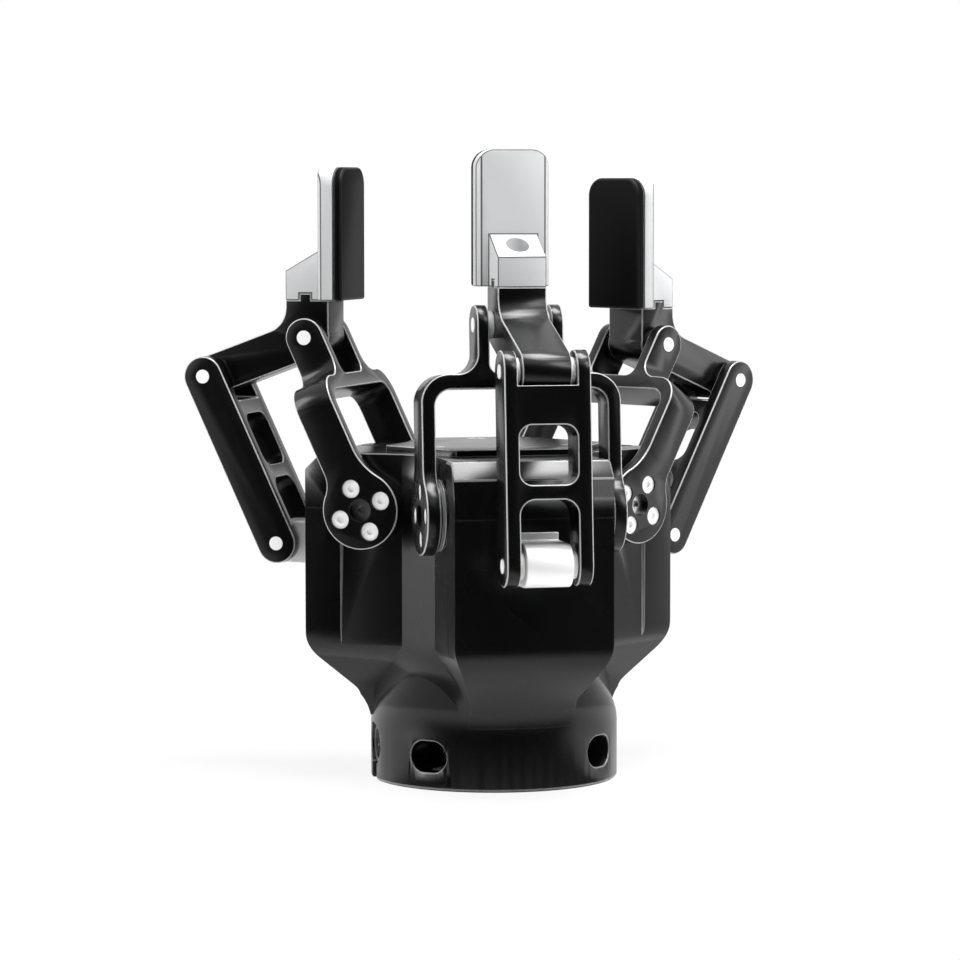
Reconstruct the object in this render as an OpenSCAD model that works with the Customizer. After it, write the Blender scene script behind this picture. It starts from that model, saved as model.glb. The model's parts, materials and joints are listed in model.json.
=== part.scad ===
// Three-jaw gripper with parallel-link fingers.
// Origin: centre of the base's underside. +Z is up, the front finger points to -Y.
// A finger is drawn in its own frame: +X outward, Y across the finger, +Z up.

/* [Base] */
// Diameter of the round base
base_d = 75; // [74:1:78]
// Height up to which the base stays round
base_h = 17; // [16.5:0.5:18]
// Diameter of the circle that the four flange holes lie on
flange_pcd = 50; // [49:0.5:51]
// Diameter of each flange hole
flange_hole_d = 6.6; // [6.4:0.1:6.8]
// Diameter of the connector's recess
connector_d = 13.3; // [13:0.1:13.6]

/* [Housing] */
// Height of the housing's top face
housing_h = 99.2; // [99:0.5:102]
// Distance of each finger's flat from the centre line
flat_r = 52.3; // [52:0.5:54]
// Width of each finger's flat
flat_w = 48; // [47.6:0.2:48.4]
// Distance of the three valley faces from the centre line
valley_r = 31; // [30.8:0.1:31.4]
// Size of the bevel on top of each flat
top_bevel = 5; // [3:0.5:5.5]

/* [Finger mechanism] */
// Distance of each crank axis from the centre line
crank_r = 32.75; // [32.5:0.25:33.25]
// Distance of the crank axes, where the housing is split, below the top face
crank_drop = 16.7; // [15.7:0.25:17.2]
// Length of crank and outer link between their pivots
crank_len = 56; // [54:0.5:60]
// Outer width of the crank
crank_w = 60.4; // [60:0.2:62]
// Distance from the crank axis out to the lower link pivot
link_dx = 33; // [32:0.5:35]
// Distance from the crank axis down to the lower link pivot
link_dz = 12.25; // [11:0.25:13]
// Width of the outer link
link_w = 25.6; // [25:0.2:27]

/* [Opening angles] */
// Lean of the front finger's crank from upright
front_open = -4; // [-14:1:40]
// Lean of the left finger's crank from upright
left_open = 25; // [-14:1:40]
// Lean of the right finger's crank from upright
right_open = 32; // [-14:1:40]

/* [Fingertips] */
// Height of the fingertip plate
tip_h = 40.5; // [30:0.5:50]
// Width of the fingertip plate
tip_w = 22.2; // [18:0.2:22.6]
// Thickness of the fingertip plate
tip_t = 5.4; // [4:0.1:6]
// Thickness of the rubber pad
pad_t = 2.8; // [1.5:0.1:3]

/* [Hidden] */
$fn = 64;
eps = 0.01;
far = 200;
run_gap = 0.05;
slack = 0.2;

black = [0.05, 0.05, 0.055];
white = [0.93, 0.93, 0.92];
silver = [0.78, 0.79, 0.8];
steel = [0.62, 0.63, 0.65];
rubber = [0.08, 0.08, 0.08];
bronze = [0.72, 0.53, 0.28];

// Each finger: name, direction about Z, lean of its crank
FINGERS = [
    ["front", -90, front_open],
    ["left", 150, left_open],
    ["right", 30, right_open]
];
VALLEYS = [90, 210, 330];

FINGER_PARTS = [
    "crank", "crank_screws", "crank_shaft", "crank_hubs", "worm_wheel", "worm", "motor",
    "crank_pin", "outer_link", "link_pins", "link_bushes", "link_bracket",
    "knuckle", "fingertip", "fingertip_screw", "rubber_pad"
];
HOUSING_PARTS = [
    "housing_base", "housing_body", "housing_cap", "housing_screws", "palm_plate",
    "shaft_bearings", "motor_plate", "control_board", "mounting_flange", "connector"
];

// Housing
crank_z = housing_h - crank_drop;
flat_half = flat_w / 2;
relief_half = flat_half - 0.8;
lobe_in = 10;
neck_z = 44;
relief_r = 40.8;
neck_r = valley_r - 1;
neck_bend = [12, 16, 30];
foot_r = base_d / 2 - 0.1;
foot_half = 0.21 * base_d;
shoulder_z = 44.2;
side_shoulder_z = 46;
flare_tail = 5;
flat_bend = [5, 10, 48];
side_bend = [12, 14, 27];
bell_r = 66;
bell_z = 49.5;
bell_bend = [14, 3, 48];
cavity_r = 28.4;
deck_z = base_h;
edge_bevel = 0.6;
roof_t = 3.2;
roof_z = housing_h - roof_t;
flange_r = 31;
flange_t = 5.4;
window_w = 12.6;
window_h = 9.4;
window_z = flange_t + window_h / 2 - 0.1;
connector_z = 10.8;
connector_tail_x = 23;
connector_tail_r = 4.6;
connector_seat_x = 32;
connector_slot = 7.2;
window_in = 19;
dowel_r = 3;
flange_screw_r = 14;
cap_screw_x = 43.5;
cap_screw_y = 12;

// Palm plate
palm_t = 2.2;
palm_flat_r = 28.5;
palm_valley_r = valley_r - 1;
palm_screw_r = 24;

// Screws
m3_r = 1.5;
m3_head_r = 2.75;
m3_head_h = 3;
m2_r = 1;
m2_head_r = 1.9;
m2_head_h = 1;
head_gap = 0.2;
flush_r = 2.9;
flush_h = 1.6;

// Crank shaft, hubs and bearings
shaft_r = 5;
spigot_bore_r = 1.3;
bearing_r = 9.5;
bearing_w = 5;
bearing_y = 17;
hub_r = 10.6;
hub_gap = 0.4;

// Crank
plate_t = 4.1;
arm_half = 5.9;
disc_r = 11.8;
crank_half = crank_w / 2;
plate_y = crank_half - plate_t;
hub_t = plate_y - relief_half - hub_gap;
bridge_t = 4.5;
bridge_top = crank_len - 14.5;
bridge_low = bridge_top - bridge_t;
corner_r = 8.5;
window_corner_r = 5;
prong_in = 9.45;
prong_out = 13;
prong_root_r = 3;
prong_outer_root_r = 6;
crank_screw_r = 7;
crank_head_r = 2.7;
crank_head_h = 1.6;
crank_head_sink = 0.6;
crank_seat_y = crank_half - crank_head_sink - crank_head_h;
spigot_sink = 2.2;
crank_socket_r = 3.4;

// Pivots
pin_r = 2.1;
crank_pin_r = 2.2;
bush_t = 0.9;
bush_rim = 1;
bush_cap = 1.2;
side_gap = 0.2;
pin_proud = 0.2;
link_r = crank_r + link_dx;
link_z = crank_z - link_dz;

// Outer link
link_half = link_w / 2;
link_end_r = 6.1;
leg_t = 4.2;
link_in = link_half - leg_t;
ear_in = link_in + 0.2;
notch_r = 7.3;
link_notch_slope = 25;
upper_window = [23.3, 40.5];
lower_window_top = 19;

// Link bracket
bracket_half = 6.9;
bracket_end_r = 6.3;
bracket_plate_t = 1.2;
bracket_lip = 2.2;
bracket_inset = 2;
bracket_screw_y = 3.3;
bracket_screw_up = 3.2;
bracket_head_h = 2.4;

// Knuckle and fingertip
knuckle_half = 7.35;
knuckle_end_r = 6.1;
neck_in = -5.9;
neck_out = 7.9;
neck_h = 11.25;
neck_fillet_r = 8;
key_x = [-0.4, 3.4];
key_h = 2.1;
tip_face = -8.75;
tip_back = tip_face + tip_t;
tip_corner_r = 5.5;
tip_bevel = 1.4;
foot_h = [15.4, 8.9];
tip_screw_x = 1.9;
tip_screw_r = 2;
tip_head_r = 3.4;
tip_head_z = neck_h + 6.4;

// Drive
wheel_teeth = 22;
wheel_r = 11.5;
wheel_root_r = 9.4;
wheel_half = 4;
worm_r = 4.2;
worm_root_r = 3;
worm_x = crank_r - wheel_r - worm_r - 0.3;
worm_pitch = 3.3;
worm_turns = 6;
worm_shank_r = 2;
plate_drop = 20.5;
motor_r = 11;
plate_z = crank_z - plate_drop;
plate_h = 3;
post_r = 3.6;
post_x = 25.2;
pocket_half = 6.6;
pocket_h = 13;
bracket_screw_x = crank_r + pocket_h;
board_screw_x = 21;
board_z = deck_z + 2;
board_t = 1.6;
board_r = 26;
board_gap = 1.4;
motor_h = plate_z - board_z - board_t - board_gap;

// ---------- helpers ----------

// Draws children in the frame of finger f
module on_finger(f) {
    rotate([0, 0, f[1]]) children();
}

// Draws children in the frame of finger f's crank: origin on its axis, +Z along it
module on_crank(f) {
    on_finger(f) translate([crank_r, 0, crank_z]) rotate([0, f[2], 0]) children();
}

// Draws children in the frame of finger f's outer link: origin on its lower pivot
module on_link(f) {
    on_finger(f) translate([link_r, 0, link_z]) rotate([0, f[2], 0]) children();
}

// Draws children in the frame of finger f's knuckle, which always stays upright
module on_knuckle(f) {
    on_finger(f)
        translate([crank_r + crank_len * sin(f[2]), 0, crank_z + crank_len * cos(f[2])])
            children();
}

// Extrudes a side view, drawn as outward and up, evenly across the finger
module across(width) {
    rotate([90, 0, 0]) linear_extrude(width, center = true) children();
}

// Extrudes a front view, drawn as across and up, evenly outward and inward
module outward(depth) {
    rotate([90, 0, 90]) linear_extrude(depth, center = true) children();
}

// Rod along Y from y0 to y1, and its mirror image when both is true
module rod_y(r, y0, y1, both = false) {
    translate([0, y1, 0]) rotate([90, 0, 0]) cylinder(r = r, h = y1 - y0);
    if (both) mirror([0, 1, 0]) rod_y(r, y0, y1);
}

// Tube along Y from y0 to y1 and its mirror image
module tube_y(r, bore_r, y0, y1) {
    for (side = [0, 1]) mirror([0, side, 0]) difference() {
        rod_y(r, y0, y1);
        rod_y(bore_r, y0 - eps, y1 + eps);
    }
}

// Rectangle from [x0, y0] to [x1, y1]
module box_2d(x0, y0, x1, y1) {
    translate([x0, y0]) square([x1 - x0, y1 - y0]);
}

// Rectangle whose upper two corners have radius r
module arch_2d(half, y0, y1, r) {
    box_2d(-half, y0, half, y1 - r);
    box_2d(r - half, y0, half - r, y1);
    for (side = [-1, 1]) translate([side * (half - r), y1 - r]) circle(r);
}

// Rectangle whose four corners have radius r
module slot_2d(half, y0, y1, r) {
    arch_2d(half, y0 + r, y1, r);
    box_2d(r - half, y0, half - r, y1 - r);
    for (side = [-1, 1]) translate([side * (half - r), y0 + r]) circle(r);
}

// Bar of half width r with round ends, from the origin up to height len
module bar_2d(r, len) {
    circle(r);
    translate([0, len]) circle(r);
    box_2d(-r, 0, r, len);
}

// Concave corner of radius r whose sharp corner is at the origin, in the first quadrant
module corner_2d(r) {
    difference() {
        square(r);
        translate([r, r]) circle(r);
    }
}

// Half outline of a wall that leans out from x0 up to x1. Its bend is [radius of the arc where
// the lean starts, radius of the arc where it ends at height z1, lean angle]. Above z1 the
// wall stays upright and ends in a bevel at the height top; below it has an upright tail.
module flare_2d(x0, x1, z1, bend, top, bevel) {
    z0 = z1 - flare_rise(x1 - x0, bend);
    low = [x0 + bend[0] * (1 - cos(bend[2])), z0 + bend[0] * sin(bend[2])];
    high = [x1 - bend[1] * (1 - cos(bend[2])), z1 - bend[1] * sin(bend[2])];
    difference() {
        polygon([
            [0, z0 - flare_tail], [x0, z0 - flare_tail], [x0, z0], low, high, [x1, z1],
            [x1, top - bevel], [x1 - bevel, top], [0, top]
        ]);
        translate([x0 + bend[0], z0]) circle(bend[0], $fn = 128);
    }
    intersection() {
        translate([x1 - bend[1], z1]) circle(bend[1], $fn = 128);
        box_2d(0, high[1], x1, z1);
    }
}

// Height that such a wall takes to move out by dx
function flare_rise(dx, bend) =
    (bend[0] + bend[1]) * sin(bend[2])
    + (dx - (bend[0] + bend[1]) * (1 - cos(bend[2]))) / tan(bend[2]);

// ---------- housing ----------

// One finger's lobe: its front flat and both sides flare down into the base
module lobe() {
    difference() {
        intersection() {
            across(flat_w + 2)
                flare_2d(foot_r, flat_r, shoulder_z, flat_bend, housing_h, top_bevel);
            translate([lobe_in, 0, 0]) rotate([90, 0, 90]) linear_extrude(flat_r)
                for (side = [0, 1]) mirror([side, 0]) flare_2d(
                    foot_half, flat_half, side_shoulder_z, side_bend, housing_h, edge_bevel);
        }
        for (side = [0, 1]) mirror([0, side, 0])
            translate([-eps, relief_half, -eps]) cube([relief_r, 5, far]);
    }
}

// Round base, which narrows in an S curve below the valleys
module round_base() {
    rotate_extrude($fn = 128) translate([0, neck_z]) mirror([0, 1])
        flare_2d(neck_r, base_d / 2, neck_z - base_h, neck_bend, neck_z, edge_bevel);
}

// Outside of the whole housing
module housing_outside() {
    // The round base trims the feet of the lobes in a bell shape
    intersection() {
        for (f = FINGERS) on_finger(f) lobe();
        rotate_extrude($fn = 128)
            flare_2d(base_d / 2, bell_r, bell_z, bell_bend, housing_h + 5, edge_bevel);
    }
    round_base();
    // Core with the three valley faces
    intersection() {
        translate([0, 0, 1]) cylinder(r = base_d / 2 - 0.5, h = housing_h - 1);
        rotate([0, 0, 30]) cylinder(r = valley_r * 2, h = housing_h, $fn = 3);
    }
}

// Everything that is hollow inside the housing
module housing_hollows() {
    difference() {
        translate([0, 0, deck_z]) cylinder(r = cavity_r, h = roof_z - deck_z);
        // Posts that carry the motor plate
        for (a = VALLEYS) rotate([0, 0, a]) translate([post_x, 0, deck_z - eps])
            cylinder(r = post_r, h = plate_z - deck_z + eps);
    }
    for (a = VALLEYS) rotate([0, 0, a]) {
        translate([post_x, 0, plate_z - 8]) cylinder(r = m3_r, h = 10);
        translate([flange_screw_r, 0, 0]) cylinder(r = m3_r, h = deck_z - 4);
    }
    for (f = FINGERS) on_finger(f) {
        // Room for the worm wheel
        translate([worm_x, -pocket_half, crank_z - pocket_h])
            cube([crank_r - worm_x + pocket_h, 2 * pocket_half, 2 * pocket_h]);
        // Shaft tunnel with its two bearing seats
        translate([crank_r, 0, crank_z]) {
            rod_y(shaft_r + 1, -flat_half - 1, flat_half + 1);
            rod_y(bearing_r, bearing_y, bearing_y + bearing_w, true);
            // Shallow pocket that keeps the sides clear of the hubs
            rod_y(hub_r + hub_gap, relief_half, flat_half + 1, true);
        }
        // Upper journal of the worm
        translate([worm_x, 0, roof_z - eps]) cylinder(r = worm_shank_r + run_gap, h = 2);
        // Cap screws
        for (side = [-1, 1]) translate([cap_screw_x, side * cap_screw_y, 0]) {
            translate([0, 0, crank_z - 12]) cylinder(r = m3_r, h = far);
            translate([0, 0, housing_h - m3_head_h]) cylinder(r = m3_head_r + head_gap, h = 10);
        }
        // Pocket and screw holes of the link bracket
        translate([flat_r - bracket_inset, -bracket_half, link_z - bracket_end_r])
            cube([5, 2 * bracket_half, 2 * bracket_end_r]);
        bracket_screw_places() cylinder(r = m3_r, h = 15);
        // Control board screw
        translate([board_screw_x, 0, deck_z - 2]) cylinder(r = m2_r, h = 3);
    }
    // Flange seat, flange screw windows and connector
    translate([0, 0, -1]) cylinder(r = flange_r, h = flange_t + 1);
    for (a = [45:90:315]) rotate([0, 0, a]) base_window();
    rotate([0, 0, 180]) {
        translate([connector_seat_x, 0, connector_z]) rotate([0, 90, 0])
            cylinder(r = connector_d / 2, h = 30);
        translate([connector_tail_x - 1, 0, connector_z]) rotate([0, 90, 0])
            cylinder(r = connector_tail_r + 0.1, h = 15);
        translate([connector_seat_x + 1.5, -connector_slot / 2, -1])
            cube([10, connector_slot, connector_z + 1]);
        translate([connector_tail_x, 0, connector_z]) cylinder(r = 2, h = 10);
    }
}

// Places children at the two screws of a link bracket, with Z pointing outward
module bracket_screw_places() {
    for (side = [-1, 1])
        translate([bracket_screw_x, side * bracket_screw_y, link_z + bracket_screw_up])
            rotate([0, 90, 0]) children();
}

// Side window through which one flange screw is reached
module base_window() {
    half = (window_w - window_h) / 2;
    translate([window_in, 0, window_z]) rotate([90, 0, 90]) linear_extrude(30) {
        for (side = [-1, 1]) translate([side * half, 0]) circle(window_h / 2);
        box_2d(-half, -window_h / 2, half, window_h / 2);
    }
}

// Lower end of the body, up to the deck that closes it
module housing_base() {
    color(black) difference() {
        intersection() {
            round_base();
            cylinder(r = far, h = deck_z);
        }
        housing_hollows();
    }
}

module housing_body() {
    color(black) difference() {
        intersection() {
            housing_outside();
            translate([0, 0, deck_z]) cylinder(r = far, h = crank_z - deck_z);
        }
        housing_hollows();
    }
}

module housing_cap() {
    color(black) difference() {
        intersection() {
            housing_outside();
            translate([0, 0, crank_z]) cylinder(r = far, h = far);
        }
        housing_hollows();
        for (a = VALLEYS) rotate([0, 0, a]) translate([palm_screw_r, 0, roof_z - 1])
            cylinder(r = m3_r, h = far);
    }
}

// Socket head screw along Z: its shank of length len ends below the head at the origin
module socket_screw(r, len, head_r, head_h) {
    translate([0, 0, -len]) cylinder(r = r, h = len + eps);
    difference() {
        cylinder(r = head_r, h = head_h);
        translate([0, 0, head_h / 2]) cylinder(r = head_r / 2, h = head_h, $fn = 6);
    }
}

// Countersunk screw along Z: its flat face lies at the origin
module flush_screw(len) {
    difference() {
        union() {
            translate([0, 0, -len]) cylinder(r = m3_r, h = len);
            countersink();
        }
        translate([0, 0, -1]) cylinder(r = 1, h = 5, $fn = 6);
    }
}

module countersink() {
    translate([0, 0, -flush_h]) cylinder(r1 = m3_r, r2 = flush_r, h = flush_h);
}

// All screws that hold the fixed parts of the housing together
module housing_screws() {
    color(steel) {
        for (f = FINGERS) on_finger(f) {
            for (side = [-1, 1])
                translate([cap_screw_x, side * cap_screw_y, housing_h - m3_head_h])
                    socket_screw(m3_r, housing_h - crank_z + 8, m3_head_r, m3_head_h - head_gap);
            bracket_screw_places() mirror([0, 0, 1])
                socket_screw(m3_r, 11, m3_head_r, bracket_head_h);
            translate([board_screw_x, 0, board_z + board_t])
                socket_screw(m2_r, board_z + board_t - deck_z + 1.8, m2_head_r, m2_head_h);
        }
        for (a = VALLEYS) rotate([0, 0, a]) {
            translate([palm_screw_r, 0, housing_h + palm_t]) flush_screw(palm_t + roof_t - 0.5);
            translate([post_x, 0, plate_z + plate_h])
                socket_screw(m3_r, plate_h + 7, m3_head_r, m3_head_h);
            translate([flange_screw_r, 0, 0]) mirror([0, 0, 1]) flush_screw(deck_z - 5);
        }
    }
}

// Plate over the middle of the cap
module palm_plate() {
    color(black) translate([0, 0, housing_h]) {
        difference() {
            intersection() {
                rotate([0, 0, -30]) cylinder(r = 2 * palm_flat_r, h = palm_t, $fn = 3);
                rotate([0, 0, 30]) cylinder(r = 2 * palm_valley_r, h = palm_t, $fn = 3);
            }
            for (a = VALLEYS) rotate([0, 0, a]) translate([palm_screw_r, 0, palm_t]) {
                translate([0, 0, -5]) cylinder(r = m3_r, h = 10);
                countersink();
            }
        }
    }
}

// ---------- parts fixed inside the housing ----------

// Disc that bolts to the robot, with four flange holes and a dowel hole
module mounting_flange() {
    color(steel) difference() {
        cylinder(r = flange_r - run_gap, h = flange_t);
        for (a = [45:90:315]) rotate([0, 0, a]) translate([flange_pcd / 2, 0, -1])
            cylinder(r = flange_hole_d / 2, h = 10);
        translate([flange_pcd / 2, 0, -1]) cylinder(r = dowel_r, h = 10);
        for (a = VALLEYS) rotate([0, 0, a]) translate([flange_screw_r, 0, 0])
            mirror([0, 0, 1]) {
                translate([0, 0, -10]) cylinder(r = m3_r, h = 12);
                countersink();
            }
    }
}

// Ring bearings that carry the three crank shafts, two to each
module shaft_bearings() {
    color(steel) for (f = FINGERS) on_finger(f) translate([crank_r, 0, crank_z])
        for (side = [0, 1]) mirror([0, side, 0]) difference() {
            rod_y(bearing_r, bearing_y, bearing_y + bearing_w);
            rod_y(shaft_r + run_gap, bearing_y - 1, bearing_y + bearing_w + 1);
            // Groove between the inner and the outer ring, on both faces
            for (y = [bearing_y, bearing_y + bearing_w]) difference() {
                rod_y(bearing_r - 1.4, y - 0.5, y + 0.5);
                rod_y(shaft_r + 1.4, y - 1, y + 1);
            }
        }
}

// Plate under which the three motors hang
module motor_plate() {
    color(silver) translate([0, 0, plate_z]) difference() {
        cylinder(r = cavity_r - 0.2, h = plate_h);
        for (f = FINGERS) on_finger(f) translate([worm_x, 0, -1]) cylinder(r = 4, h = 10);
        for (a = VALLEYS) rotate([0, 0, a]) translate([post_x, 0, -1])
            cylinder(r = m3_r, h = 10);
    }
}

// Geared motor with a round can, end cap and two terminals
module motor(f) {
    color(steel) on_finger(f) translate([worm_x, 0, plate_z]) {
        difference() {
            union() {
                translate([0, 0, -14]) cylinder(r = motor_r, h = 14);
                translate([0, 0, -motor_h + 3]) cylinder(r = motor_r - 0.6, h = motor_h - 16);
                translate([0, 0, -motor_h]) cylinder(r = motor_r - 2.5, h = 4);
                cylinder(r = 3.9, h = plate_h);
            }
            translate([0, 0, -12]) cylinder(r = worm_shank_r + run_gap, h = 20);
        }
        for (side = [-1, 1]) translate([0, side * 4, 0.6 - motor_h])
            cube([2, 0.8, 3.6], center = true);
    }
}

// Worm with its shank in the motor and its journal in the cap
module worm(f) {
    color(bronze) on_finger(f) translate([worm_x, 0, 0]) {
        translate([0, 0, plate_z - 10]) cylinder(r = worm_shank_r, h = roof_z - plate_z + 11.6);
        translate([0, 0, plate_z + plate_h + 1])
            cylinder(r = worm_root_r, h = roof_z - plate_z - plate_h - 4);
        for (i = [0:worm_turns - 1]) translate([0, 0, worm_ring_z(i)])
            rotate_extrude() polygon([
                [1, -1.1], [worm_root_r, -1.1], [worm_r, -0.45],
                [worm_r, 0.45], [worm_root_r, 1.1], [1, 1.1]
            ]);
    }
}

function worm_ring_z(i) = crank_z + (i - (worm_turns - 1) / 2) * worm_pitch;

// Round control board between deck and motors, with chips and its connector socket
module control_board() {
    color([0.05, 0.3, 0.16]) difference() {
        union() {
            translate([0, 0, board_z]) cylinder(r = board_r, h = board_t);
            for (f = FINGERS) on_finger(f) translate([board_screw_x, 0, deck_z])
                cylinder(r = 2.2, h = board_z - deck_z + eps);
        }
        for (a = VALLEYS) rotate([0, 0, a]) translate([post_x, 0, board_z - 1])
            cylinder(r = post_r + 0.4, h = 5);
        for (f = FINGERS) on_finger(f) translate([board_screw_x, 0, deck_z - 1])
            cylinder(r = m2_r, h = 10);
    }
}

// Round connector in the side of the base, with its five contacts
module connector() {
    color(steel) rotate([0, 0, 180]) translate([0, 0, connector_z]) rotate([0, 90, 0]) {
        difference() {
            union() {
                translate([0, 0, connector_tail_x]) cylinder(r = connector_tail_r, h = 10);
                translate([0, 0, connector_seat_x])
                    cylinder(r = connector_d / 2 - 0.1, h = 1.8);
                translate([0, 0, connector_seat_x]) cylinder(r = 5.9, h = 4);
            }
            translate([0, 0, connector_seat_x + 0.8]) cylinder(r = 4.7, h = 20);
        }
        for (i = [0:4]) rotate([0, 0, i * 72]) translate([i == 0 ? 0 : 2.6, 0, connector_seat_x])
            cylinder(r = 0.5, h = 3.4);
    }
}

// ---------- finger drive ----------

// Shaft across the lobe, with the spigots that centre the crank
module crank_shaft(f) {
    color(steel) on_crank(f) {
        rod_y(shaft_r, -plate_y, plate_y);
        for (side = [0, 1]) mirror([0, side, 0]) difference() {
            rod_y(crank_socket_r - 0.1, plate_y - eps, crank_half - spigot_sink);
            rod_y(spigot_bore_r, plate_y + 1, crank_half);
        }
    }
}

// Flanged hubs on the shaft ends, each with a groove around its rim
module crank_hubs(f) {
    color(black) on_crank(f) for (side = [0, 1]) mirror([0, side, 0]) difference() {
        rod_y(hub_r, plate_y - hub_t, plate_y);
        rod_y(shaft_r, plate_y - hub_t - 1, plate_y + 1);
        difference() {
            rod_y(hub_r + 1, plate_y - hub_t / 2 - 0.25, plate_y - hub_t / 2 + 0.25);
            rod_y(hub_r - 0.8, plate_y - hub_t, plate_y);
        }
        crank_screw_places() rod_y(m3_r, plate_y - hub_t + 0.4, plate_y + 1);
    }
}

// Worm wheel in the middle of the shaft
module worm_wheel(f) {
    half_root = 90 * 1.25 / wheel_teeth;
    half_tip = 90 * 0.6 / wheel_teeth;
    color(bronze) on_crank(f) difference() {
        across(2 * wheel_half) {
            circle(wheel_root_r);
            for (i = [0:wheel_teeth - 1]) rotate(i * 360 / wheel_teeth) polygon([
                wheel_point(wheel_root_r - 1, -half_root), wheel_point(wheel_r, -half_tip),
                wheel_point(wheel_r, half_tip), wheel_point(wheel_root_r - 1, half_root)
            ]);
        }
        rod_y(shaft_r, -wheel_half - 1, wheel_half + 1);
    }
}

function wheel_point(r, a) = [r * cos(a), r * sin(a)];

// ---------- crank ----------

// Places children at the four screws of a crank disc
module crank_screw_places() {
    for (a = [0:90:270]) rotate([0, a, 0]) translate([crank_screw_r, 0, 0]) children();
}

// Web that blends an arm of half width w into a disc of radius r with a fillet
module disc_web_2d(r, w, fillet) {
    y = sqrt(pow(r + fillet, 2) - pow(w + fillet, 2));
    difference() {
        polygon([[0, 0], [w + fillet - slack, y - slack], [0, y - slack]]);
        translate([w + fillet, y]) circle(fillet);
    }
}

// Crank seen from the side: disc, arm and round upper end
module crank_side_2d() {
    circle(disc_r);
    bar_2d(arm_half, crank_len);
    disc_web_2d(disc_r, arm_half, 8);
    mirror([1, 0]) disc_web_2d(disc_r, arm_half, 19);
}

// Crank seen from the front: two arms, bridge and two prongs
module crank_front_2d() {
    difference() {
        arch_2d(crank_half, -disc_r - 1, bridge_top, corner_r);
        arch_2d(plate_y, -disc_r - 2, bridge_low, window_corner_r);
    }
    for (side = [0, 1]) mirror([side, 0]) {
        box_2d(prong_in, bridge_top - 1, prong_out, crank_len + 10);
        translate([prong_out, bridge_top]) corner_2d(prong_outer_root_r);
        translate([prong_in, bridge_top]) mirror([1, 0]) corner_2d(prong_root_r);
    }
}

module crank(f) {
    color(black) on_crank(f) difference() {
        intersection() {
            across(crank_w) crank_side_2d();
            outward(4 * disc_r) crank_front_2d();
        }
        // Socket for the shaft spigot and the four counterbored screw holes
        rod_y(crank_socket_r, -crank_half - 1, crank_half + 1);
        crank_screw_places() {
            rod_y(m3_r + 0.1, -crank_half - 1, crank_half + 1);
            rod_y(crank_head_r + 0.1, crank_seat_y, crank_half + 1, true);
        }
        // Upper pivot: bush seats inside, pin holes through
        translate([0, 0, crank_len]) {
            rod_y(crank_pin_r + bush_t, bush_cap - prong_out, prong_out - bush_cap);
            rod_y(crank_pin_r, -prong_out - 1, prong_out + 1);
        }
    }
}

module crank_screws(f) {
    color(white) on_crank(f) for (side = [0, 1]) mirror([0, side, 0])
        crank_screw_places() difference() {
            union() {
                rod_y(m3_r, plate_y - hub_t + 0.4, crank_seat_y + eps);
                rod_y(crank_head_r, crank_seat_y, crank_seat_y + crank_head_h);
            }
            translate([0, crank_seat_y + crank_head_h / 2, 0]) rotate([-90, 0, 0])
                cylinder(r = 1.15, h = 5, $fn = 6);
        }
}

// Pin between the prongs and the knuckle, with the two flanged bushes pressed onto it
module crank_pin(f) {
    color(white) on_crank(f) translate([0, 0, crank_len]) {
        rod_y(crank_pin_r, -prong_out - pin_proud, prong_out + pin_proud);
        for (side = [0, 1]) mirror([0, side, 0]) {
            rod_y(crank_pin_r + bush_t, prong_in - eps, prong_out - bush_cap);
            rod_y(crank_pin_r + bush_t + bush_rim, knuckle_half + side_gap, prong_in);
        }
    }
}

// ---------- outer link ----------

// Outer link seen from the front: ladder with an open window below and a notch above
module link_front_2d() {
    difference() {
        box_2d(-link_half, -link_end_r, link_half, crank_len + link_end_r);
        slot_2d(link_in, upper_window[0], upper_window[1], 3.8);
        arch_2d(link_in, -link_end_r - 1, lower_window_top, 4.5);
    }
}

// Room for the knuckle at the top of the link, seen from the side
module link_notch_2d() {
    s = sin(link_notch_slope);
    c = cos(link_notch_slope);
    translate([0, crank_len]) {
        circle(notch_r);
        polygon([
            [notch_r * s, -notch_r * c], [notch_r * s - 15 * c, -notch_r * c - 15 * s],
            [-14, 20], [14, 20], [notch_r, 0]
        ]);
    }
}

module outer_link(f) {
    color(black) on_link(f) difference() {
        intersection() {
            across(link_w) bar_2d(link_end_r, crank_len);
            outward(4 * link_end_r) link_front_2d();
        }
        across(2 * ear_in) link_notch_2d();
        for (z = [0, crank_len]) translate([0, 0, z]) {
            rod_y(pin_r + bush_t, bush_cap - link_half, link_half - bush_cap);
            rod_y(pin_r, -link_half - 1, link_half + 1);
        }
    }
}

module link_pins(f) {
    color(white) on_link(f) for (z = [0, crank_len]) translate([0, 0, z])
        rod_y(pin_r, -link_half - pin_proud, link_half + pin_proud);
}

// Pair of flanged bushes between a part of half width inner and faces of the link at y face
module link_bush_pair(inner, face) {
    tube_y(pin_r + bush_t + bush_rim, pin_r, inner + side_gap, face);
    tube_y(pin_r + bush_t, pin_r, face - eps, link_half - bush_cap);
}

module link_bushes(f) {
    color(white) on_link(f) {
        link_bush_pair(bracket_half, link_in);
        translate([0, 0, crank_len]) link_bush_pair(knuckle_half, ear_in);
    }
}

// Bracket on the flat that carries the link's lower pivot
module link_bracket(f) {
    color(white) on_finger(f) translate([link_r, 0, link_z]) difference() {
        union() {
            across(2 * bracket_half) {
                circle(bracket_end_r);
                box_2d(flat_r - link_r - bracket_inset, -bracket_end_r, 0, bracket_end_r);
            }
            translate([flat_r - link_r, -bracket_half, -bracket_end_r])
                cube([bracket_plate_t, 2 * bracket_half, 2 * bracket_end_r + bracket_lip]);
        }
        rod_y(pin_r + run_gap, -bracket_half - 1, bracket_half + 1);
        translate([-link_r, 0, -link_z]) bracket_screw_places() cylinder(r = m3_r, h = 12);
    }
}

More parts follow.
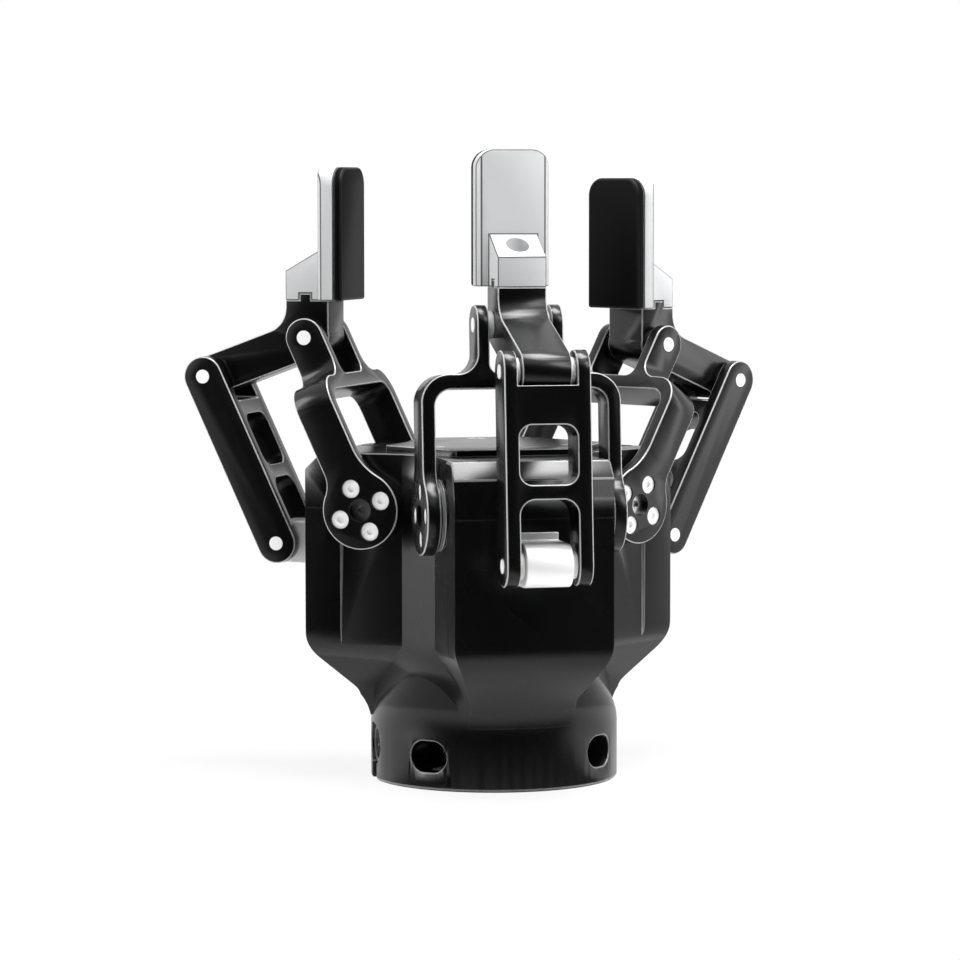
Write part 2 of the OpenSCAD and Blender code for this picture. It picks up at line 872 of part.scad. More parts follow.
// ---------- knuckle and fingertip ----------

// Knuckle seen from the side: arm down to the link, neck up to the fingertip, and key
module knuckle_side_2d() {
    slope = atan2(-link_dz, link_dx);
    rotate(slope - 90) bar_2d(knuckle_end_r, norm([link_dx, link_dz]));
    box_2d(neck_in, 0, neck_out, neck_h);
    box_2d(key_x[0], neck_h - 1, key_x[1], neck_h + key_h);
    // Fillet between the neck and the top edge of the arm
    fillet_x = neck_out + neck_fillet_r;
    fillet_y = (knuckle_end_r + neck_fillet_r + fillet_x * sin(slope)) / cos(slope);
    fillet_s = fillet_x * cos(slope) + fillet_y * sin(slope);
    difference() {
        intersection() {
            rotate(slope) box_2d(0, 0, fillet_s - slack, knuckle_end_r + neck_fillet_r);
            box_2d(0, -knuckle_end_r, fillet_x, fillet_y - slack);
        }
        translate([fillet_x, fillet_y]) circle(neck_fillet_r);
    }
}

module knuckle(f) {
    color(black) on_knuckle(f) difference() {
        across(2 * knuckle_half) knuckle_side_2d();
        rod_y(crank_pin_r + run_gap, -knuckle_half - 1, knuckle_half + 1);
        translate([link_dx, 0, -link_dz])
            rod_y(pin_r + 2 * run_gap, -knuckle_half - 1, knuckle_half + 1);
        translate([tip_screw_x, 0, neck_h - 7]) cylinder(r = tip_screw_r, h = 20);
    }
}

// Tip and pad seen from the front: straight sides and two round upper corners
module tip_front_2d() {
    arch_2d(tip_w / 2, neck_h, neck_h + tip_h, tip_corner_r);
}

// Fingertip: plate with bevelled outer edges, and the foot that sits on the knuckle
module fingertip(f) {
    half = tip_w / 2;
    color(silver) on_knuckle(f) difference() {
        union() {
            intersection() {
                translate([tip_face + tip_t / 2, 0, 0]) outward(tip_t) tip_front_2d();
                linear_extrude(far) polygon([
                    [tip_face, -half], [tip_back - tip_bevel, -half],
                    [tip_back, tip_bevel - half], [tip_back, half - tip_bevel],
                    [tip_back - tip_bevel, half], [tip_face, half]
                ]);
            }
            across(2 * knuckle_half) polygon([
                [tip_face + 1, neck_h], [neck_out, neck_h], [neck_out, neck_h + foot_h[1]],
                [tip_back, neck_h + foot_h[0]], [tip_face + 1, neck_h + foot_h[0]]
            ]);
        }
        across(far) box_2d(key_x[0] - 0.1, neck_h - 1, key_x[1] + 0.1, neck_h + key_h + 0.1);
        translate([tip_screw_x, 0, neck_h - 1]) cylinder(r = tip_screw_r, h = 10);
        translate([tip_screw_x, 0, tip_head_z]) cylinder(r = tip_head_r + 0.1, h = 20);
    }
}

module fingertip_screw(f) {
    color(steel) on_knuckle(f) translate([tip_screw_x, 0, 0]) {
        translate([0, 0, neck_h - 6.5]) cylinder(r = tip_screw_r, h = tip_head_z - neck_h + 7);
        translate([0, 0, tip_head_z]) difference() {
            cylinder(r = tip_head_r, h = 4);
            translate([0, 0, 2]) cylinder(r = 1.6, h = 5, $fn = 6);
        }
    }
}

module rubber_pad(f) {
    color(rubber) on_knuckle(f)
        translate([tip_face - pad_t / 2, 0, 0]) outward(pad_t) tip_front_2d();
}

// ---------- output ----------

for (f = FINGERS) {
    crank(f);
    crank_screws(f);
    crank_shaft(f);
    crank_hubs(f);
    worm_wheel(f);
    worm(f);
    motor(f);
    crank_pin(f);
    outer_link(f);
    link_pins(f);
    link_bushes(f);
    link_bracket(f);
    knuckle(f);
    fingertip(f);
    fingertip_screw(f);
    rubber_pad(f);
}
housing_base();
housing_body();
housing_cap();
housing_screws();
palm_plate();
shaft_bearings();
motor_plate();
control_board();
mounting_flange();
connector();
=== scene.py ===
# %% [markdown]
# # A gripper with three parallel-link fingers
# This notebook dresses the machined solids of an electric gripper: anodised aluminium
# housing, U-shaped cranks, ladder-shaped links, plain aluminium fingertips with rubber pads.
# The solids already have the right shape and place, so the work here is what a machinist
# and an anodiser would add: broken edges, surface finish, fine variation, and light.

# %% Load the frame
import json
import math
import bmesh
import bpy
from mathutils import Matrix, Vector

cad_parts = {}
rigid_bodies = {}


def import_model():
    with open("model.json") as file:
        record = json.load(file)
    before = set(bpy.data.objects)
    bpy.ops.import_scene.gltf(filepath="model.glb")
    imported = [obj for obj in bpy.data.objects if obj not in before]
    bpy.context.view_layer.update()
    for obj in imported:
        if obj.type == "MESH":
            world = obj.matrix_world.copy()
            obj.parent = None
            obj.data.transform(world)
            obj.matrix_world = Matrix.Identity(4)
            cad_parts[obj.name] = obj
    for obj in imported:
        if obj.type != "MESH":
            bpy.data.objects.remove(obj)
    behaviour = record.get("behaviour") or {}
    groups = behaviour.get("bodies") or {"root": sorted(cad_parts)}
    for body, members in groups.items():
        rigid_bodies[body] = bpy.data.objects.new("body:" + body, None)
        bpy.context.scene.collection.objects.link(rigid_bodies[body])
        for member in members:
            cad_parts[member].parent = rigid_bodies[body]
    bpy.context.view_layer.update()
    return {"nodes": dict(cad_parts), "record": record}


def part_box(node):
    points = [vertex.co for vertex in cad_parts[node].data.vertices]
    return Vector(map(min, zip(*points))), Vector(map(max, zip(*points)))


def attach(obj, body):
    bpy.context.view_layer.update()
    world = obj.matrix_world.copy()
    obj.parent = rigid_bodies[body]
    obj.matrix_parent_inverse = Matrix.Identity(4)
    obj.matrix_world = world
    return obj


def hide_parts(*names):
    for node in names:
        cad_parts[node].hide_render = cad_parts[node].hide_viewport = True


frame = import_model()
fingers = ("front", "left", "right")
print("nodes in the frame:", len(frame["nodes"]))

# %% [markdown]
# ## The stage
# A glossy black object is drawn by what it reflects. On a product table it stands on a pale
# sheet of card that runs flat under it and bends up behind it, while the rest of the room
# is as white as the card. One thing in it is dark: a wide black curtain in front, where the
# camera stands. Upright black faces mirror what lies in front of them, and only a dark
# curtain there lets them look truly black between their bright outlines.
#
# A plane for the floor and another for the wall would meet in a visible line, so one mesh
# makes the card: a strip of faces along a floor, a quarter bend and a wall.

# %% Floor and backdrop in one bent sheet
bend_steps = 16


def sheet_profile(front, back, bend, top):
    """Points (distance behind the object, height) of the card seen from its edge."""
    points = [(-front, 0.0), (back - bend, 0.0)]
    for i in range(1, bend_steps + 1):
        a = math.radians(90 * i / bend_steps)
        points.append((back - bend + bend * math.sin(a), bend - bend * math.cos(a)))
    return points + [(back, top)]


def make_card(name, half_width, front, back, bend, top):
    """The bent card as one strip of smooth faces."""
    mesh = bpy.data.meshes.new(name)
    rows = sheet_profile(front, back, bend, top)
    verts = [(x, y, z) for y, z in rows for x in (-half_width, half_width)]
    faces = [(2 * i, 2 * i + 1, 2 * i + 3, 2 * i + 2) for i in range(len(rows) - 1)]
    mesh.from_pydata(verts, [], faces)
    mesh.polygons.foreach_set("use_smooth", [True] * len(faces))
    card = bpy.data.objects.new(name, mesh)
    bpy.context.collection.objects.link(card)
    return card


card = make_card("studio_card", half_width=1.6, front=1.4, back=1.9, bend=0.7, top=2.6)
print("studio card:", len(card.data.polygons), "faces")

# %% [markdown]
# Four small helpers come first, because nearly every material below uses them: an empty
# material, one Math node, a soft step, and a test of the ray. Light Path tells which kind of
# ray is asking, so the eye, mirrors and glass can be shown a white that lights nothing.
# Wiring each of these by hand would work too, but would triple the length of every step.

# %% Small node helpers
def new_material(name):
    """An empty node material with its output, as (material, nodes, links, output)."""
    mat = bpy.data.materials.new(name)
    mat.use_nodes = True
    mat.node_tree.nodes.clear()
    nodes, links = mat.node_tree.nodes, mat.node_tree.links
    return mat, nodes, links, nodes.new("ShaderNodeOutputMaterial")


def maths(nodes, links, operation, a, b=None, clamp=False):
    """One Math node; a and b are sockets or numbers."""
    node = nodes.new("ShaderNodeMath")
    node.operation, node.use_clamp = operation, clamp
    for socket, value in zip(node.inputs, (a, b)):
        if isinstance(value, (int, float)):
            socket.default_value = value
        elif value is not None:
            links.new(value, socket)
    return node.outputs[0]


def seen_directly(nodes, links):
    """1 for camera, mirror and glass rays, 0 for the light that the surface sends out."""
    path = nodes.new("ShaderNodeLightPath")
    eye = maths(nodes, links, "MAXIMUM", path.outputs["Is Camera Ray"],
                path.outputs["Is Glossy Ray"])
    return maths(nodes, links, "MAXIMUM", eye, path.outputs["Is Transmission Ray"])


def smooth_ramp(nodes, links, value, start, end, low=0.0, high=1.0):
    """A soft step: low before start, high after end."""
    ramp = nodes.new("ShaderNodeMapRange")
    ramp.interpolation_type = "SMOOTHSTEP"
    for name, number in (("From Min", start), ("From Max", end),
                         ("To Min", low), ("To Max", high)):
        ramp.inputs[name].default_value = number
    links.new(value, ramp.inputs["Value"])
    return ramp.outputs["Result"]


print("helpers: new_material, maths, seen_directly, smooth_ramp")

# %% [markdown]
# The curtain is a direction and not an object: a point of the room, or of the card in front
# of it, is dark in mirrors when the way to it from the middle of the table points forward.
# A modelled black cloth would do the same, but would stand there as a dark wall when the
# gripper is looked at from another side. The fades are the soft edges of the curtain.

# %% The dark curtain
side_fade, top_fade, front_fade = 0.08, 0.1, (-0.3, -0.1)


def curtain_share(nodes, links, direction, half=(-0.93, 0.78), top=0.55):
    """1 where a unit direction points at the dark curtain towards -Y, 0 elsewhere.

    half is how far the curtain reaches to the left and right, top how high it is."""
    split = nodes.new("ShaderNodeSeparateXYZ")
    links.new(direction, split.inputs[0])
    x, y, z = split.outputs
    beside = maths(nodes, links, "MULTIPLY",
                   smooth_ramp(nodes, links, x, half[0] - side_fade, half[0] + side_fade),
                   smooth_ramp(nodes, links, x, half[1] - side_fade, half[1] + side_fade,
                               1.0, 0.0))
    ahead = smooth_ramp(nodes, links, y, *front_fade, 1.0, 0.0)
    below = smooth_ramp(nodes, links, z, top - top_fade, top + top_fade, 1.0, 0.0)
    return maths(nodes, links, "MULTIPLY", maths(nodes, links, "MULTIPLY", beside, ahead), below)


print("helper: curtain_share")

# %% [markdown]
# The card has to show as clean white without flooding the object with light. So it mixes
# plain card with a white glow, and the ray decides which is seen: the camera, a mirror-like
# surface and glass meet the glow, while the soft light that the card sends out stays at its
# real level. Close to the foot a share of the plain card is kept, so that the object still
# has its soft shadow; the share fades with the distance from the centre. The card is
# polished, so a face that mirrors it at a flat angle meets the polish and not the white,
# which Layer Weight tells apart. A strong lamp on a plain card would also give white, but it
# would wash out the shadow and grey the blacks.

# %% Card material
card_grey, shadow_core = 0.86, 0.2


def card_material(shadow_reach, shadow_share, polish):
    """White to direct rays; polish is (flat, steep), the facing where mirrors see it."""
    mat, nodes, links, out = new_material("white_card")
    plain = nodes.new("ShaderNodeBsdfDiffuse")
    plain.inputs["Color"].default_value = (card_grey, card_grey, card_grey, 1)
    glow = nodes.new("ShaderNodeEmission")
    glow.inputs["Color"].default_value = (1, 1, 1, 1)
    both = nodes.new("ShaderNodeMixShader")
    place = nodes.new("ShaderNodeTexCoord")
    far = nodes.new("ShaderNodeVectorMath")
    far.operation = "LENGTH"
    links.new(place.outputs["Object"], far.inputs[0])
    white = smooth_ramp(nodes, links, far.outputs["Value"],
                        shadow_reach * shadow_core, shadow_reach, low=1 - shadow_share)
    weight, path = nodes.new("ShaderNodeLayerWeight"), nodes.new("ShaderNodeLightPath")
    mirrored = path.outputs["Is Glossy Ray"]
    direct = maths(nodes, links, "MULTIPLY", seen_directly(nodes, links), white)
    links.new(maths(nodes, links, "MAXIMUM", direct, mirrored), both.inputs["Fac"])
    towards = nodes.new("ShaderNodeVectorMath")
    towards.operation = "NORMALIZE"
    links.new(place.outputs["Object"], towards.inputs[0])
    flat, steep = polish
    dull = smooth_ramp(nodes, links, weight.outputs["Facing"], 1 - steep, 1 - flat)
    dark = maths(nodes, links, "MULTIPLY", dull,
                 curtain_share(nodes, links, towards.outputs[0]))
    lost = maths(nodes, links, "MULTIPLY", dark, mirrored)
    links.new(maths(nodes, links, "SUBTRACT", 1.0, lost), glow.inputs["Strength"])
    links.new(plain.outputs[0], both.inputs[1])
    links.new(glow.outputs[0], both.inputs[2])
    links.new(both.outputs[0], out.inputs["Surface"])
    return mat


card.data.materials.append(
    card_material(shadow_reach=0.24, shadow_share=0.12, polish=(0.2, 0.7)))
print("card material:", card.data.materials[0].name)

# %% [markdown]
# The room is a world shader with one strength for each kind of ray: white where it is seen
# directly, a soft fill for everything it lights, and nearly black in the mirrored curtain.
# Walls and a ceiling would do it too, but a world has no corners and casts no shadows.

# %% Room
def room(white, curtain_level, fill):
    """A white world with a dark curtain that mirrors see, and soft fill light."""
    world = bpy.data.worlds.new("white_room")
    world.use_nodes = True
    nodes, links = world.node_tree.nodes, world.node_tree.links
    place, path = nodes.new("ShaderNodeTexCoord"), nodes.new("ShaderNodeLightPath")
    curtain = maths(nodes, links, "MULTIPLY", path.outputs["Is Glossy Ray"],
                    curtain_share(nodes, links, place.outputs["Generated"]))
    levels, dark = nodes.new("ShaderNodeMix"), nodes.new("ShaderNodeMix")
    levels.inputs["A"].default_value, levels.inputs["B"].default_value = fill, white
    dark.inputs["B"].default_value = curtain_level
    links.new(seen_directly(nodes, links), levels.inputs["Factor"])
    links.new(curtain, dark.inputs["Factor"])
    links.new(levels.outputs["Result"], dark.inputs["A"])
    links.new(dark.outputs["Result"], nodes["Background"].inputs["Strength"])
    nodes["Background"].inputs["Color"].default_value = (1, 1, 1, 1)
    return world


bpy.context.scene.world = room(white=1.0, curtain_level=0.005, fill=0.28)
bpy.context.scene.view_settings.view_transform = "Standard"
print("world:", bpy.context.scene.world.name)

# %% [markdown]
# ## Light
# Satin black shows light only as broad sheens, so each lamp is a large soft panel placed
# where its mirror image falls on a face that should be read: one high on the right for the
# fingertips and links, one on each side for rims and valleys, and one above that the bevels
# on top of the housing mirror. A panel of a given power gets dimmer as it gets larger, so
# the helper takes a brightness and works out the watts.

# %% Softboxes
def softbox(name, place, target, width, height, brightness):
    """A rectangular lamp at place that faces target, with an even brightness."""
    data = bpy.data.lights.new(name, "AREA")
    data.shape = "RECTANGLE"
    data.size, data.size_y = width, height
    data.energy = brightness * width * height * math.pi
    lamp = bpy.data.objects.new(name, data)
    lamp.location = place
    lamp.rotation_mode = "QUATERNION"
    lamp.rotation_quaternion = (Vector(target) - Vector(place)).to_track_quat("-Z", "Y")
    bpy.context.collection.objects.link(lamp)
    return lamp


middle = (0.0, 0.0, 0.095)
softbox("key_panel", (0.62, -0.80, 0.95), middle, 0.40, 0.5, 7.5)
softbox("left_panel", (-1.10, 0.10, 0.40), middle, 0.25, 0.9, 9.5)
softbox("right_panel", (1.10, -0.20, 0.35), middle, 0.22, 0.9, 4.5)
softbox("top_panel", (0.12, -0.1, 1.0), middle, 0.55, 0.40, 20.0)

# %% [markdown]
# ## Camera
# A long lens from a little above the bench, turned slightly to the left of the front finger,
# shows all three fingers and the front flat. The position is worked out from two angles and
# a distance, the way a tripod is set up, so it is easier to change than bare coordinates.

# %% Camera
def place_camera(azimuth, elevation, distance, aside, height, lens, shift):
    """Looks at a point at the given height, aside metres to the camera's right."""
    a, e = math.radians(azimuth), math.radians(elevation)
    right = Vector((math.cos(a), math.sin(a), 0))
    back = Vector((math.sin(a) * math.cos(e), -math.cos(a) * math.cos(e), math.sin(e)))
    data = bpy.data.cameras.new("bench_camera")
    data.lens = lens
    data.shift_x, data.shift_y = shift
    camera = bpy.data.objects.new("bench_camera", data)
    camera.location = right * aside + Vector((0, 0, height)) + back * distance
    camera.rotation_mode = "QUATERNION"
    camera.rotation_quaternion = (-back).to_track_quat("-Z", "Y")
    bpy.context.collection.objects.link(camera)
    bpy.context.scene.camera = camera
    return camera


camera = place_camera(
    azimuth=-13.57, elevation=4.27, distance=1.1871, aside=0.00821, height=0.09081,
    lens=146.47, shift=(-0.0426, -0.0022),
)
print("camera at", [round(v, 3) for v in camera.location])

# %% [markdown]
# ## Shared surface effects
# Three effects turn up on nearly every finish: a blasted grain, cut lines and edges made
# lighter, partly for wear and partly as painted highlight.
# They could be rebuilt in every material, but a node group that is built once and placed
# with its own values keeps them alike. The helper makes a group with its named sockets.

# %% Node group helpers
def new_group(name, inputs, outputs):
    """A shader node group with float inputs {name: default} and (name, type) outputs."""
    group = bpy.data.node_groups.new(name, "ShaderNodeTree")
    for socket, value in inputs.items():
        made = group.interface.new_socket(socket, in_out="INPUT", socket_type="NodeSocketFloat")
        made.default_value = value
    for socket, kind in outputs:
        group.interface.new_socket(socket, in_out="OUTPUT", socket_type=kind)
    nodes = group.nodes
    return group, nodes, group.links, nodes.new("NodeGroupInput"), nodes.new("NodeGroupOutput")


print("helper: new_group")

# %% [markdown]
# Anodised parts are bead-blasted first, which leaves a fine, even pebble and a hardly
# visible cloudiness. Two noises at very different scales give both: the fine one goes to
# the bump, the coarse one to the roughness.

# %% Blasted grain
def build_grain():
    group, nodes, links, inp, out = new_group(
        "blasted_grain", {"Grains per metre": 2600.0, "Cloud size": 25.0},
        [("Height", "NodeSocketFloat"), ("Cloud", "NodeSocketFloat")],
    )
    place = nodes.new("ShaderNodeTexCoord")
    pebble, cloud = nodes.new("ShaderNodeTexNoise"), nodes.new("ShaderNodeTexNoise")
    pebble.inputs["Detail"].default_value = 2.0
    cloud.inputs["Detail"].default_value = 3.0
    for noise, scale in ((pebble, "Grains per metre"), (cloud, "Cloud size")):
        links.new(place.outputs["Object"], noise.inputs["Vector"])
        links.new(inp.outputs[scale], noise.inputs["Scale"])
    links.new(pebble.outputs["Fac"], out.inputs["Height"])
    links.new(cloud.outputs["Fac"], out.inputs["Cloud"])
    return group


blasted_grain = build_grain()
print("group:", blasted_grain.name)

# %% [markdown]
# Turned and ground metal keeps short parallel scratches. Noise that is stretched along two
# directions and left fine along the third looks like such lines, at the cost of one node.

# %% Cut lines
def build_cut_lines():
    group, nodes, links, inp, out = new_group(
        "cut_lines", {"Lines per metre": 5000.0, "Length": 0.03},
        [("Height", "NodeSocketFloat")],
    )
    place = nodes.new("ShaderNodeTexCoord")
    stretch = nodes.new("ShaderNodeCombineXYZ")
    scaled = nodes.new("ShaderNodeVectorMath")
    scaled.operation = "MULTIPLY"
    links.new(inp.outputs["Length"], stretch.inputs["X"])
    links.new(inp.outputs["Length"], stretch.inputs["Y"])
    stretch.inputs["Z"].default_value = 1.0
    links.new(place.outputs["Object"], scaled.inputs[0])
    links.new(stretch.outputs[0], scaled.inputs[1])
    noise = nodes.new("ShaderNodeTexNoise")
    noise.inputs["Detail"].default_value = 3.0
    links.new(scaled.outputs[0], noise.inputs["Vector"])
    links.new(inp.outputs["Lines per metre"], noise.inputs["Scale"])
    links.new(noise.outputs["Fac"], out.inputs["Height"])
    return group


cut_lines = build_cut_lines()
print("group:", cut_lines.name)

# %% [markdown]
# The anodic layer is thinnest on an edge and is rubbed a little brighter there; the lighter edge
# colour also stands in for the highlight that a rounded edge catches, so it is partly painted
# highlight. A Bevel node gives the normal that a rounded edge would have, and where it differs
# from the real one the surface must be an edge. Painting a mask by hand would do too, but this
# needs no map.

# %% Edges lighter for wear and painted highlight
edge_gain, patches_per_metre = 6.0, 160.0


def build_edge_wear_and_highlight():
    group, nodes, links, inp, out = new_group(
        "edge_wear_and_highlight", {"Radius": 0.0005, "Patchiness": 0.4},
        [("Mask", "NodeSocketFloat")],
    )
    rounded = nodes.new("ShaderNodeBevel")
    rounded.samples = 6
    links.new(inp.outputs["Radius"], rounded.inputs["Radius"])
    true_face = nodes.new("ShaderNodeNewGeometry")
    dot = nodes.new("ShaderNodeVectorMath")
    dot.operation = "DOT_PRODUCT"
    links.new(rounded.outputs["Normal"], dot.inputs[0])
    links.new(true_face.outputs["Normal"], dot.inputs[1])
    away = maths(nodes, links, "SUBTRACT", 1.0, dot.outputs["Value"])
    edge = maths(nodes, links, "MULTIPLY", away, edge_gain, clamp=True)
    patches = nodes.new("ShaderNodeTexNoise")
    patches.inputs["Scale"].default_value = patches_per_metre
    place = nodes.new("ShaderNodeTexCoord")
    links.new(place.outputs["Object"], patches.inputs["Vector"])
    lost = maths(nodes, links, "MULTIPLY", patches.outputs["Fac"], inp.outputs["Patchiness"])
    kept = maths(nodes, links, "SUBTRACT", 1.0, lost)
    # The edge mask lightens edges: partly wear, partly painted highlight.
    links.new(maths(nodes, links, "MULTIPLY", edge, kept, clamp=True), out.inputs["Mask"])
    return group


edge_wear_and_highlight = build_edge_wear_and_highlight()
print("group:", edge_wear_and_highlight.name)

# %% [markdown]
# ## Finishes
# Every finish on this gripper is a metal or a moulded surface with the same few controls,
# so one function wires the groups to a Principled BSDF. Values that are the same all over
# are set on the shader's own sockets; only what varies over the surface comes from nodes.
#
# The housing's foot needs one helper more. On the real casting the lobes run out into the
# round foot without a crease. More geometry could round them off, but the solids are exact
# and stay, so the shading normal turns gently from the true face to that of a smooth bell.

# %% A foot without creases
bell_lean, short_fade, long_fade = 0.9, 0.001, 0.004


def foot_normal(nodes, links, deck, shoulder):
    """The normal of a smooth foot: creases fade out from the shoulder down to the deck.

    Between the two heights the skin leans outwards like a bell, steepest half way up.
    """
    place, split = nodes.new("ShaderNodeTexCoord"), nodes.new("ShaderNodeSeparateXYZ")
    links.new(place.outputs["Object"], split.inputs[0])
    ring = nodes.new("ShaderNodeCombineXYZ")
    links.new(split.outputs["X"], ring.inputs["X"])
    links.new(split.outputs["Y"], ring.inputs["Y"])
    outwards = nodes.new("ShaderNodeVectorMath")
    outwards.operation = "NORMALIZE"
    links.new(ring.outputs[0], outwards.inputs[0])
    height, half = split.outputs["Z"], (deck + shoulder) / 2
    rise = smooth_ramp(nodes, links, height, deck - short_fade, half)
    fall = smooth_ramp(nodes, links, height, half, shoulder, low=1.0, high=0.0)
    bell = maths(nodes, links, "MULTIPLY", rise, fall)
    down = nodes.new("ShaderNodeCombineXYZ")
    links.new(maths(nodes, links, "MULTIPLY", bell, -bell_lean), down.inputs["Z"])
    leaning = nodes.new("ShaderNodeVectorMath")
    links.new(outwards.outputs[0], leaning.inputs[0])
    links.new(down.outputs[0], leaning.inputs[1])
    above = smooth_ramp(nodes, links, height, half - long_fade, shoulder, low=1.0, high=0.0)
    share = maths(nodes, links, "MULTIPLY", above,
                  smooth_ramp(nodes, links, height, deck - long_fade, deck - short_fade))
    true_face, mix = nodes.new("ShaderNodeNewGeometry"), nodes.new("ShaderNodeMix")
    mix.data_type = "VECTOR"
    factor, from_face, from_bell = (mix.inputs[i] for i in (0, 4, 5))  # the vector sockets
    links.new(share, factor)
    links.new(true_face.outputs["Normal"], from_face)
    links.new(leaning.outputs[0], from_bell)
    unit = nodes.new("ShaderNodeVectorMath")
    unit.operation = "NORMALIZE"
    links.new(mix.outputs[1], unit.inputs[0])
    return unit.outputs[0]


print("helper: foot_normal")

# %% [markdown]
# The finish builder itself. It takes plain numbers, because a finish is easier to compare
# with another one as a short list than as a picture of wires. Relief goes to the bump only:
# grain and tool marks are far too fine to be worth faces.

# %% Finish builder
relief_depth = 0.00005


def place_group(nodes, group, values):
    """A group placed in a material, with values for its inputs by name."""
    node = nodes.new("ShaderNodeGroup")
    node.node_tree = group
    for name, value in values.items():
        node.inputs[name].default_value = value
    return node


def finish(name, colour, edge_colour, rough, rough_spread=0.06, metal=0.0, level=0.5,
           edge_radius=0.0005, edge_share=0.6, grain=2600.0, lines=None, bump=0.1, blend=None):
    """One finish: base colour with edges lighter for wear and painted highlight, clouded
    roughness, grain or cut lines.

    blend is (deck, shoulder), the heights of a foot whose creases are blended away."""
    mat, nodes, links, out = new_material(name)
    shader = nodes.new("ShaderNodeBsdfPrincipled")
    shader.inputs["Metallic"].default_value = metal
    shader.inputs["Specular IOR Level"].default_value = level
    links.new(shader.outputs[0], out.inputs["Surface"])

    # Edges are mixed towards edge_colour: partly wear, partly painted highlight.
    edges = place_group(nodes, edge_wear_and_highlight, {"Radius": edge_radius})
    share = maths(nodes, links, "MULTIPLY", edges.outputs["Mask"], edge_share)
    colours = nodes.new("ShaderNodeMix")
    colours.data_type = "RGBA"
    colours.inputs["A"].default_value = (*colour, 1)
    colours.inputs["B"].default_value = (*edge_colour, 1)
    links.new(share, colours.inputs["Factor"])
    links.new(colours.outputs["Result"], shader.inputs["Base Color"])

    clouds = place_group(nodes, blasted_grain, {"Grains per metre": grain})
    spread = nodes.new("ShaderNodeMapRange")
    spread.inputs["To Min"].default_value = rough - rough_spread
    spread.inputs["To Max"].default_value = rough + rough_spread
    links.new(clouds.outputs["Cloud"], spread.inputs["Value"])
    links.new(spread.outputs["Result"], shader.inputs["Roughness"])

    height = clouds.outputs["Height"]
    if lines:
        height = place_group(nodes, cut_lines, {"Lines per metre": lines}).outputs["Height"]
    relief = nodes.new("ShaderNodeBump")
    relief.inputs["Strength"].default_value = bump
    relief.inputs["Distance"].default_value = relief_depth
    links.new(height, relief.inputs["Height"])
    links.new(relief.outputs["Normal"], shader.inputs["Normal"])
    if blend:
        links.new(foot_normal(nodes, links, *blend), relief.inputs["Normal"])
    return mat


print("helper: finish")

# %% [markdown]
# Black anodised aluminium is the main finish. The anodic layer is clear glassy oxide full of
# black dye, so it reflects like a dark, satin dielectric and not like bare metal: a base
# colour close to nothing, and all the light in the highlights. The housing has the same
# layer, with the blended foot between the top of its round base and the lobes' shoulders.

# %% Black anodised finishes
foot_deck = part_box("housing_base")[1][2]
foot_shoulder = 0.046
black_anodised = finish(
    "black_anodised", (0.0025, 0.0025, 0.0028), (0.05, 0.05, 0.052), rough=0.27, level=0.38)
black_housing = finish(
    "black_housing", (0.0025, 0.0025, 0.0028), (0.05, 0.05, 0.052), rough=0.27, level=0.45,
    blend=(foot_deck, foot_shoulder))
print("finishes:", black_anodised.name, black_housing.name)

# %% [markdown]
# The chamfers show as thin bright lines along every outline, and that light is painted into
# their colour: on black parts the chamfer finish is a grey painted highlight, narrow, fine and
# smooth. The housing's painted highlight is quieter. On the pale fingertips it is the other
# way round, their edges are painted as thin grey lines of painted shade, and the rubber's edge
# is painted hardly lighter than its face. Brighter edges on the same finish would blur into the
# face; a second material keeps each line as narrow as the chamfer itself.

# %% Chamfer finishes: painted highlight and painted shade
# Painted highlight on black, housing and rubber chamfers; painted shade on fingertip chamfers.
black_chamfer_highlight = finish(
    "black_chamfer_highlight", (0.42, 0.42, 0.425), (0.6, 0.6, 0.6), rough=0.35, metal=0.2, level=0.6)
tip_chamfer_shade = finish(
    "tip_chamfer_shade", (0.10, 0.10, 0.102), (0.14, 0.14, 0.14), rough=0.45, level=0.3)
pad_chamfer_highlight = finish(
    "pad_chamfer_highlight", (0.006, 0.006, 0.006), (0.012, 0.012, 0.012), rough=0.5, level=0.15)
housing_chamfer_highlight = finish(
    "housing_chamfer_highlight", (0.20, 0.20, 0.202), (0.28, 0.28, 0.28), rough=0.3, level=0.6)
chamfers = {"black_anodised": black_chamfer_highlight, "silver_aluminium": tip_chamfer_shade,
            "pad_rubber": pad_chamfer_highlight}
print("chamfers:", [mat.name for mat in (*chamfers.values(), housing_chamfer_highlight)])

# %% [markdown]
# The fingertips and the small link brackets are the same alloy with a clear anodic layer:
# pale, almost white under a soft panel, with fine tool marks. The pins and the small round
# screw heads are plated bright, so they are smoother and a little warmer.

# %% Pale metals
silver_aluminium = finish(
    "silver_aluminium", (0.58, 0.585, 0.59), (0.8, 0.8, 0.8), rough=0.45, metal=0.08,
    edge_radius=0.0006, edge_share=0.5, lines=4200.0, bump=0.12)
light_aluminium = finish(
    "light_aluminium", (0.86, 0.86, 0.86), (0.97, 0.97, 0.97), rough=0.4, metal=0.2,
    edge_share=0.5, lines=4200.0, bump=0.1)
bright_steel = finish(
    "bright_steel", (0.92, 0.92, 0.915), (1.0, 1.0, 1.0), rough=0.3, metal=0.05,
    edge_radius=0.0003, edge_share=0.4, lines=6000.0, bump=0.08)
steel = finish(
    "steel", (0.46, 0.46, 0.47), (0.75, 0.75, 0.76), rough=0.32, metal=1.0,
    edge_radius=0.0003, edge_share=0.5, lines=6000.0, bump=0.15)
print("pale metals:", silver_aluminium.name, light_aluminium.name, bright_steel.name, steel.name)

# %% [markdown]
# What is left is small or soft. Bronze worm wheels run against steel worms. The flanged
# bushes are white bearing plastic. The pads are dense moulded rubber, darker and duller than
# the anodised parts, with a coarser skin. The control board is green solder resist.

